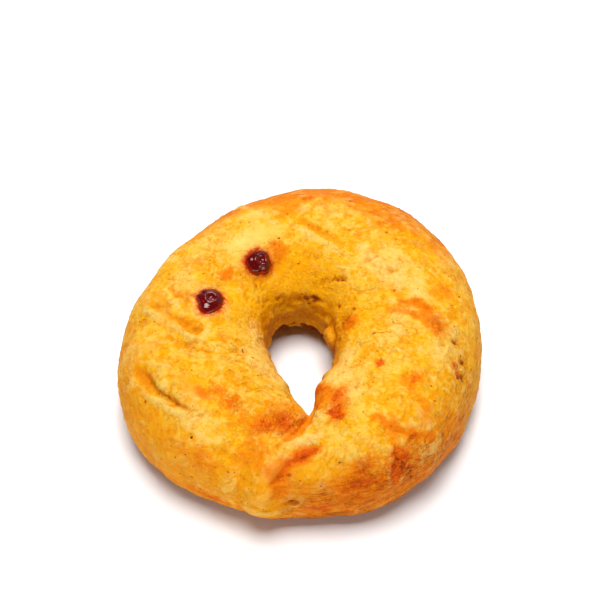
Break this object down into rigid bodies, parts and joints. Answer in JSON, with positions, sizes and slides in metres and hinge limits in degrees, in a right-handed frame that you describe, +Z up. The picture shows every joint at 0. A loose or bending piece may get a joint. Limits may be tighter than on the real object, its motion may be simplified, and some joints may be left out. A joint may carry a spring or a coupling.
{
  "type": "ring-shaped cheese bread",
  "caption": "Golden-crusted ring of baked cheese bread, hand-rolled, its ends lapped at the front where the hole runs to a point, with dark caramelised beads of cheese on the crust.",
  "frame": {"origin": "middle of the bounding box in X and Y, at the height of the surface the bread lies on; it is inside the open hole", "axes": "+Z up through the hole; -Y is the front, where the two ends of the roll are lapped; the beads of cheese are on the -X half"},
  "size_m": [0.1126, 0.1156, 0.0359],
  "materials": {
    "crust": "baked crust, golden yellow with toasted orange patches, satin",
    "caramelised_cheese": "dark red-brown caramelised cheese, glossy"
  },
  "bodies": {
    "root": {"bread_ring": "crust", "cheese_bead_left": "caramelised_cheese", "cheese_bead_right": "caramelised_cheese"}
  },
  "joints": []
}
